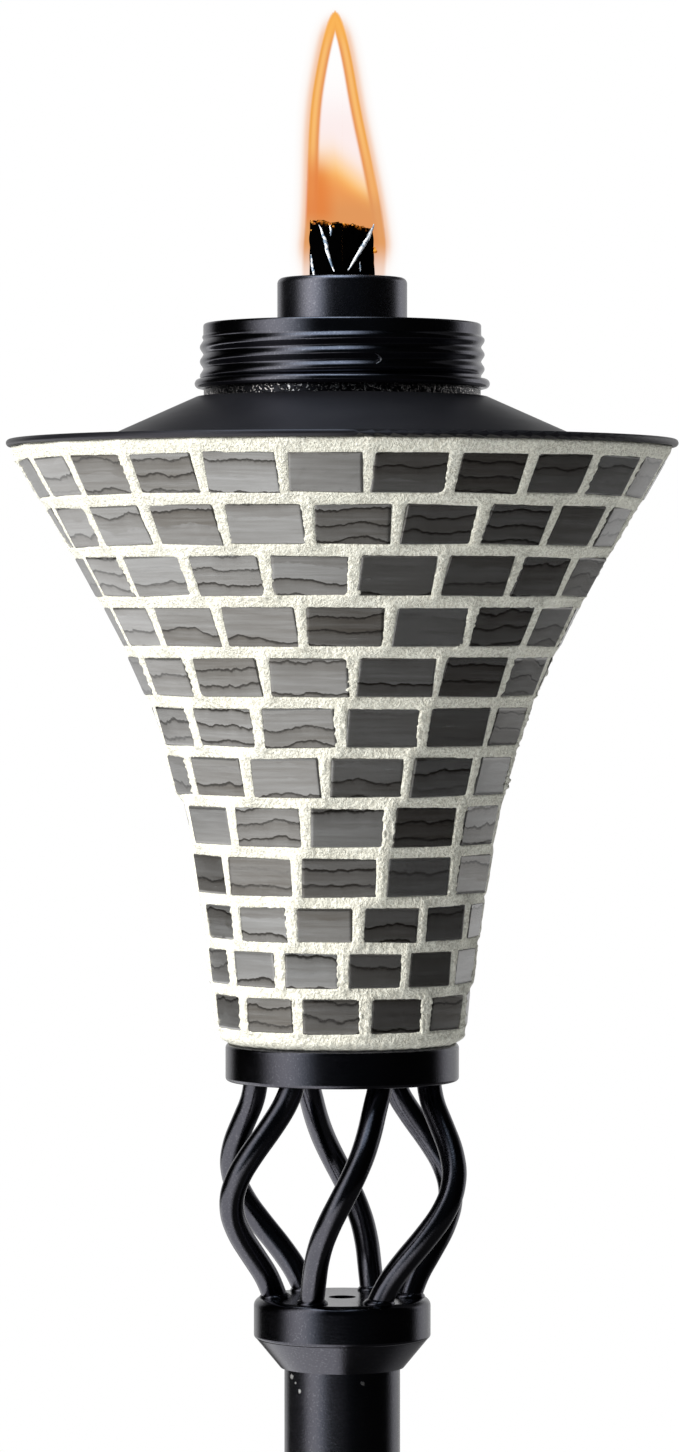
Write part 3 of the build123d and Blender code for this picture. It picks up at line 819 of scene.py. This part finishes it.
# Each ember: its angle from the front in degrees, its height over the wick's edge and its size.
EMBERS = (
    (-66, -0.3, 0.45), (-58, -0.5, 0.35), (-40, -0.2, 0.30), (-22, -0.2, 0.40),
    (-16, -0.5, 0.25), (2, -0.1, 0.22), (18, 0.0, 0.24), (40, -0.2, 0.20),
    (64, -0.4, 0.22), (86, -4.6, 0.60), (82, -3.9, 0.35), (-74, -2.2, 0.2),
)
EMBER_AROUND = 8
EMBER_LOOPS = 5
points = []
faces = []
for angle, lift, size in EMBERS:
    turn = math.radians(angle - 90)
    middle = on_round(WICK_RADIUS - 0.1 * MM, angle, wick_top(turn) + lift * MM)
    start = len(points)
    for level in range(1, EMBER_LOOPS + 1):
        tilt = math.pi * level / (EMBER_LOOPS + 1)
        for step in range(EMBER_AROUND):
            spin = math.tau * step / EMBER_AROUND
            wide = math.sin(tilt) * (1 + 0.3 * noise.noise(Vector((angle, level, step))))
            spot = Vector((wide * math.cos(spin), wide * math.sin(spin), math.cos(tilt) * 0.8))
            points.append(middle + spot * size * MM)
    faces += skin(EMBER_LOOPS - 1, EMBER_AROUND, start, flip=True)
    faces.append(tuple(range(start, start + EMBER_AROUND)))
    faces.append(tuple(reversed(range(len(points) - EMBER_AROUND, len(points)))))
new_piece("embers", points, faces, "wick", ember_glow)

strand_glint_paint, s, shader = finish("strand_glint_paint")
# The strands' pale bluish white, brighter in patches, is a painted glint.
sheen = s.grain(900.0, 2.0).ramp(0.40, 0.55)
feed(shader, Base_Color=sheen.mix((0.20, 0.28, 0.38), (0.95, 0.97, 1.0)), Roughness=0.4)
# Each strand: five places as an angle from the front and a height under the wick's top, then its thickness.
STRANDS = (
    ((-44, -0.6), (-32, -3.4), (-29, -5.0), (-24, -7.5), (-14, -10.8), 0.42),
    ((72, -0.2), (56, -2.5), (42, -4.6), (24, -7.8), (10, -10.6), 0.46),
    ((-70, -6.8), (-66, -8.4), (-62, -10.0), (-58, -11.2), (-57, -11.6), 0.32),
    ((-22, -0.6), (-21, -1.2), (-20, -1.8), (-20, -2.4), (-20, -3.0), 0.22),
    ((32, -8.6), (32, -9.2), (33, -9.8), (33, -10.3), (33, -10.8), 0.15),
)
for number, (*knots, thickness) in enumerate(STRANDS):
    spine = []
    for step in range(25):
        place = 4 * step / 24
        first = min(int(place), 3)
        share = place - first
        angle = knots[first][0] + (knots[first + 1][0] - knots[first][0]) * share
        below = knots[first][1] + (knots[first + 1][1] - knots[first][1]) * share
        wobble = noise.noise(Vector((step * 0.3, number, 0))) * 2
        spine.append(on_round(WICK_RADIUS + 0.05 * MM, angle + wobble, wick_high.z - 0.6 * MM + below * MM))
    strand(f"stray_strand_{number + 1}", spine, thickness * MM, "wick", strand_glint_paint)


# ---------------------------------------------------------------------------------------------------------
# Flame: burning vapour round the wick's top, a clear heart in an orange skin that leans a little to one
# side. Two thin crossed sheets carry its colours, so it shows from every side.
# ---------------------------------------------------------------------------------------------------------
FLAME_TALL = 45.8 * MM
FLAME_DEEP = 11.8 * MM
FLAME_OVER = 1.5 * MM
HALO = 3.4 * MM
flame_tip = wick_high.z + FLAME_TALL
flame_skin, s, shader = finish("flame")
feed(
    shader,
    Base_Color=(0.0, 0.0, 0.0, 1.0),
    Roughness=1.0,
    Specular_IOR_Level=0.0,
    Emission_Color=s.stored("flame_colour", 0),
    Emission_Strength=1.0,
    Alpha=s.stored("flame_cover"),
)


def soft_step(value, low, high):
    """0 below low, 1 above high, and a soft step between."""
    share = min(max((value - low) / (high - low), 0.0), 1.0)
    return share * share * (3 - 2 * share)


def blend(first, second, share):
    """A colour between two, this share of the way."""
    return [a + (b - a) * share for a, b in zip(first, second)]


def flame_half(below):
    """Half the flame's width, in millimetres, this far below its tip."""
    return 1.06 * max(below, 0.0) ** 0.55 * (1 - 0.10 * soft_step(below, 50, 60))


def flame_paint(out, below):
    """Colour and cover of the flame at a place out from its middle and below its tip, in millimetres."""
    half = flame_half(below)
    inside = half - abs(out)
    yellow = (0.96, 0.43, 0.05)
    orange = (0.78, 0.27, 0.05)
    deep = (0.78, 0.19, 0.015)
    dusty = (0.72, 0.29, 0.085)
    peach = (0.86, 0.37, 0.10)
    if inside <= 0:
        haze = 0.5 * math.exp(-(inside / 1.0) ** 2) + 0.12 * math.exp(-(inside / 2.2) ** 2)
        fringe = soft_step(inside, -HALO / MM, -HALO / MM + 1.2)
        return peach, haze * fringe * soft_step(below, -1.5, 6.0) * (1 - 0.8 * soft_step(below, 50, 57))
    skin_end = 2.6
    rim = 1.0 - soft_step(inside, skin_end - 0.4, skin_end + 0.3)
    outer_line = math.exp(-((inside - 0.45) / 0.30) ** 2)
    middle_line = math.exp(-((inside - 1.25) / 0.55) ** 2)
    inner_line = math.exp(-((inside - skin_end + 0.35) / 0.40) ** 2)
    faint = 1 - 0.7 * soft_step(below, 24, 38)
    colour = blend(peach, (0.96, 0.50, 0.13), middle_line * faint)
    colour = blend(colour, (0.86, 0.36, 0.025), outer_line * faint)
    colour = blend(colour, orange, 0.85 * inner_line)
    colour = blend(colour, yellow, 0.8 * (1 - soft_step(below, 3, 9)))
    slant = below - 0.9 * max(out + 1.0, 0.0)
    heart = blend((1.0, 0.93, 0.93), (0.97, 0.74, 0.72), soft_step(below, 12, 27))
    heart_cover = 0.04 + 0.50 * soft_step(below, 9, 25)
    filled = blend((1.0, 0.76, 0.45), (1.0, 0.60, 0.20), soft_step(slant, 27.0, 32.0))
    filled = blend(filled, (0.94, 0.42, 0.10), soft_step(slant, 32.0, 37.5))
    filled = blend(filled, (0.86, 0.32, 0.075), soft_step(slant, 35.0, 39.5))
    low = soft_step(slant, 24.5, 36.0)
    heart = blend(heart, filled, low)
    heart_cover += (0.97 - heart_cover) * low
    colour = blend(heart, colour, rim)
    cover = heart_cover + (0.96 - heart_cover) * rim
    left_deep = soft_step(-out, 0.5, 5.0) * soft_step(below, 29, 37) * (1 - soft_step(below, 43, 48))
    colour = blend(colour, dusty, 0.75 * soft_step(below, 38, 44))
    colour = blend(colour, deep, 0.75 * left_deep)
    cover *= soft_step(inside, -0.1, 0.5) * 0.40 + 0.60
    return colour, cover * (1 - 0.55 * soft_step(below, 50.0, 58.0))


FLAME_ACROSS = 72
FLAME_UP = 150
for number, sideways in enumerate((Vector((1, 0, 0)), Vector((0, 1, 0)))):
    normal = Vector((sideways.y, -sideways.x, 0))
    points = []
    colours = []
    covers = []
    for face_side in (-1, 1):
        for level in range(FLAME_UP + 1):
            below = (-FLAME_OVER + (FLAME_TALL + FLAME_DEEP + FLAME_OVER) * level / FLAME_UP) / MM
            lean = -1.55 + 2.1 * soft_step(below, 16, 50) - 0.2 * soft_step(below, 50, 58)
            reach = flame_half(below) + HALO / MM
            for step in range(FLAME_ACROSS + 1):
                out = reach * (2 * step / FLAME_ACROSS - 1)
                colour, cover = flame_paint(out, below)
                height = flame_tip - below * MM
                spot = sideways * (out + lean) * MM + normal * face_side * 0.02 * MM
                points.append(spot + Vector((0, 0, height)))
                colours.append((*colour, 1.0))
                if number == 1:
                    cover *= soft_step(below, 5, 16)
                covers.append(1 - math.sqrt(max(1 - cover, 0.0)))
    row = FLAME_ACROSS + 1
    sheet = row * (FLAME_UP + 1)
    faces = []
    for side in range(2):
        for level in range(FLAME_UP):
            for step in range(FLAME_ACROSS):
                a = side * sheet + level * row + step
                face = (a, a + 1, a + row + 1, a + row)
                faces.append(face if side else face[::-1])
    flame = new_piece(f"flame_{number + 1}", points, faces, "wick", flame_skin)
    layer = flame.data.attributes.new("flame_colour", "FLOAT_COLOR", "POINT")
    layer.data.foreach_set("color", np.asarray(colours, np.float32).ravel())
    attribute(flame, "flame_cover", covers)
    flame.visible_shadow = False
    flame.visible_diffuse = False
    flame.visible_glossy = False


# ---------------------------------------------------------------------------------------------------------
# Studio: a pale floor under the spike's point and soft light from a wide source on the left, with a dark
# stretch to the right of the viewer that the glass and the paint reflect.
# ---------------------------------------------------------------------------------------------------------
scene = bpy.context.scene
scene.view_settings.view_transform = "Standard"
floor_height = cad_box[0].z
floor_mesh = bpy.data.meshes.new("studio_floor")
FLOOR_RADIUS = 6.0
FLOOR_SIDES = 96
floor_points = [(0.0, 0.0, floor_height)]
for step in range(FLOOR_SIDES):
    turn = math.tau * step / FLOOR_SIDES
    floor_points.append((FLOOR_RADIUS * math.cos(turn), FLOOR_RADIUS * math.sin(turn), floor_height))
floor_faces = [(0, 1 + step, 1 + (step + 1) % FLOOR_SIDES) for step in range(FLOOR_SIDES)]
floor_mesh.from_pydata(floor_points, [], floor_faces)
floor = bpy.data.objects.new("studio_floor", floor_mesh)
scene.collection.objects.link(floor)
floor_paint, s, shader = finish("floor_paint")
feed(shader, Base_Color=s.grain(3.0).mix((0.90, 0.895, 0.885), (0.94, 0.935, 0.925)), Roughness=0.9)
floor_mesh.materials.append(floor_paint)
floor.visible_glossy = False

world = bpy.data.worlds.new("studio")
scene.world = world
world.use_nodes = True
tree = world.node_tree
tree.nodes.clear()
s = Shade(tree)
direction = s.node("ShaderNodeTexCoord", output=0)
sideways, backward, upward = [direction.split(axis) for axis in range(3)]
# Azimuth from the viewer's side (0) to the right (+) and to the left (-), in quarter turns.
turn = sideways.math("ARCTAN2", sideways, 0.0 - backward) * (2 / math.pi)
around = turn.math("ABSOLUTE", turn)
left_turn = 0.0 - turn
# Reflections: a bright panel on the left, a paler one far round on the right, and near dark at the front.
left = left_turn.ramp(0.25, 0.60) * (1.0 - left_turn.ramp(0.66, 1.02))
behind = around.ramp(1.45, 1.65)
right_back = turn.ramp(1.16, 1.40) * 0.8
front = (1.0 - around.ramp(0.15, 0.7)) * 0.012
ring_light = (left * 1.5 + right_back + front + 0.006) * (1.0 - behind) + behind * 0.6
ring_light = ring_light * (1.0 - upward.ramp(0.25, 0.50) * around.ramp(0.9, 1.4) * 0.95)
# Faces that look down reflect the lit floor, brighter on the left.
low_left = left_turn.ramp(-0.25, 0.42) * (1.0 - left_turn.ramp(1.6, 1.85))
low_light = low_left * 1.3 + turn.ramp(1.3, 1.6) * 0.16 + 0.035
low = (0.0 - upward).ramp(0.17, 0.31)
ring_light = ring_light * (1.0 - low) + low_light * low
overhead = upward.ramp(0.80, 0.97)
sheen = ring_light * (1.0 - overhead) + overhead * 2.6 * sideways.ramp(0.30, -0.05)
# Soft light that falls on the surfaces, from the left and from above.
wide_left = left_turn.ramp(0.05, 0.60) * (1.0 - left_turn.ramp(1.55, 1.85))
fill = wide_left * 1.15 + 0.10 + upward.ramp(0.4, 0.9) * 0.35
spread = s.node("ShaderNodeLightPath", output=2)
light = sheen * (1.0 - spread) + fill * spread
# The viewer sees plain white behind the torch.
seen = s.node("ShaderNodeLightPath", output=0)
strength = light * (1.0 - seen) + seen
facing = (1.0 - around.ramp(0.15, 0.7)) * (1.0 - low)
cool = (overhead + facing) * (1.0 - seen) * (1.0 - spread * 0.7)
tint = cool.mix((1.0, 1.0, 1.0), (0.72, 0.86, 1.0))
background = s.node("ShaderNodeBackground", None, {0: tint, 1: strength})
output = tree.nodes.new("ShaderNodeOutputWorld")
tree.links.new(background.socket, output.inputs[0])

lamp = bpy.data.lights.new("left_softbox", "AREA")
lamp.size = 0.8
lamp.energy = 30.0
lamp.color = (1.0, 0.985, 0.96)
softbox = bpy.data.objects.new("left_softbox", lamp)
head_middle = Vector((0, 0, (grout_low.z + grout_high.z) / 2))
softbox.location = head_middle + Vector((-1.1, -0.9, 0.5))
softbox.rotation_euler = (head_middle - softbox.location).to_track_quat("-Z", "Y").to_euler()
softbox.visible_glossy = False
scene.collection.objects.link(softbox)


# ---------------------------------------------------------------------------------------------------------
# Camera: level with the upper part of the vessel, square on to its front, at portrait distance.
# ---------------------------------------------------------------------------------------------------------
CAMERA_DISTANCE = 1.25
CAMERA_LEFT = 0.6 * MM
VIEW_HEIGHT = 318.0 * MM
VIEW_MIDDLE = 140.6 * MM
EYE_HEIGHT = 163.0 * MM
camera_data = bpy.data.cameras.new("camera")
camera_data.sensor_fit = "VERTICAL"
camera_data.sensor_height = 36.0
camera_data.lens = 36.0 * CAMERA_DISTANCE / VIEW_HEIGHT
camera_data.clip_end = 50.0
camera = bpy.data.objects.new("camera", camera_data)
scene.collection.objects.link(camera)
camera.location = (-CAMERA_LEFT, -CAMERA_DISTANCE, cone_foot + EYE_HEIGHT)
aim = Vector((-CAMERA_LEFT, 0, cone_foot + VIEW_MIDDLE))
camera.rotation_euler = (aim - camera.location).to_track_quat("-Z", "Y").to_euler()
scene.camera = camera
